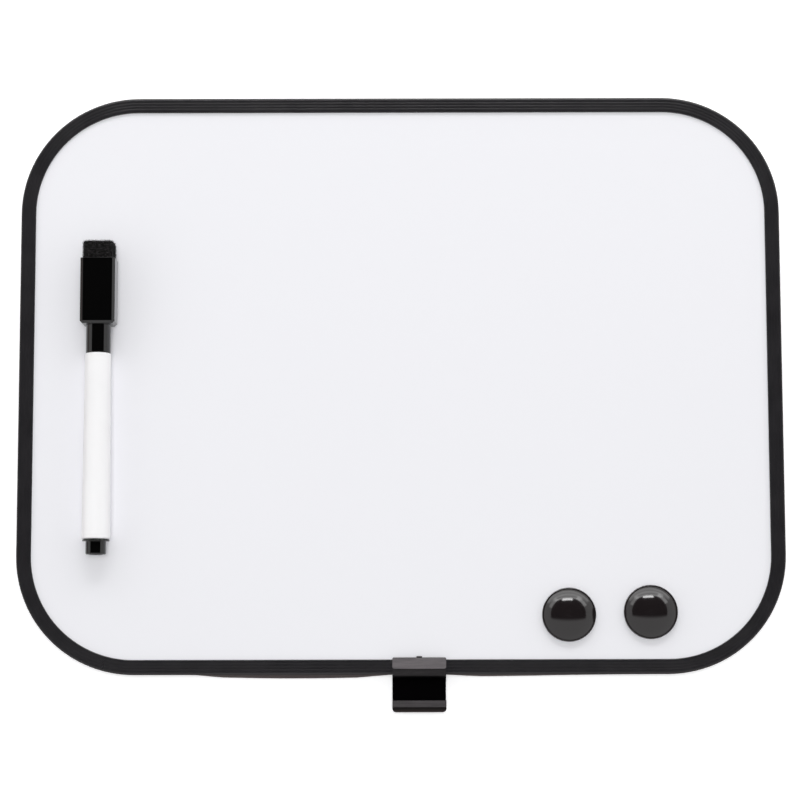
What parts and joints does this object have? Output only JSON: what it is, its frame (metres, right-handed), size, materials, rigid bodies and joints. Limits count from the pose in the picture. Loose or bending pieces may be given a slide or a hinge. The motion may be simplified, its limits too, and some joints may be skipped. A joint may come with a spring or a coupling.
{
  "type": "magnetic dry-erase board",
  "caption": "Flat magnetic dry-erase board with rounded corners and soft edge trim, a sliding pen clip, a capped marker with eraser and domed magnets.",
  "frame": {"origin": "under the middle of the whole assembly's box, on the plane it lies on", "axes": "+X along the board's long edge to the right, +Y up the writing face, +Z out of the writing face"},
  "size_m": [0.305, 0.2468, 0.0188],
  "materials": {
    "edge_trim_pvc": "extruded soft PVC, satin",
    "writing_enamel": "gloss dry-erase enamel on steel",
    "core_fibreboard": "pressed fibreboard",
    "backing_plastic": "calendered sheet, matt",
    "clip_plastic": "injection moulded, gloss",
    "cap_plastic": "injection moulded, gloss",
    "magnet_plastic": "injection moulded, gloss",
    "barrel_plastic": "injection moulded, gloss",
    "holder_plastic": "injection moulded, satin",
    "nib_fibre": "bonded fibre soaked in ink",
    "reservoir_film": "film-wrapped fibre bundle",
    "eraser_felt": "pressed felt",
    "ferrite": "sintered ferrite, ground"
  },
  "bodies": {
    "board": {"frame_trim": "edge_trim_pvc", "writing_sheet": "writing_enamel", "core_board": "core_fibreboard", "backing_sheet": "backing_plastic"},
    "clip": {"marker_clip": "clip_plastic"},
    "marker": {"barrel": "barrel_plastic", "nib_holder": "holder_plastic", "nib": "nib_fibre", "ink_reservoir": "reservoir_film", "end_plug": "cap_plastic"},
    "cap": {"marker_cap": "cap_plastic", "eraser_felt": "eraser_felt", "cap_magnet": "ferrite"},
    "magnet_left": {"magnet_left_cap": "magnet_plastic", "magnet_left_disc": "ferrite"},
    "magnet_right": {"magnet_right_cap": "magnet_plastic", "magnet_right_disc": "ferrite"}
  },
  "joints": [
    {"name": "clip_slide", "type": "slide", "parent": "board", "child": "clip", "axis": [1, 0, 0], "range_m": [-0.101, 0.087]},
    {"name": "marker_lift", "type": "slide", "parent": "board", "child": "marker", "axis": [0, 0, 1], "range_m": [0, 0.06]},
    {"name": "cap_pull", "type": "slide", "parent": "marker", "child": "cap", "axis": [0, 1, 0], "range_m": [0, 0.045]},
    {"name": "magnet_left_lift", "type": "slide", "parent": "board", "child": "magnet_left", "axis": [0, 0, 1], "range_m": [0, 0.04]},
    {"name": "magnet_right_lift", "type": "slide", "parent": "board", "child": "magnet_right", "axis": [0, 0, 1], "range_m": [0, 0.04]}
  ]
}
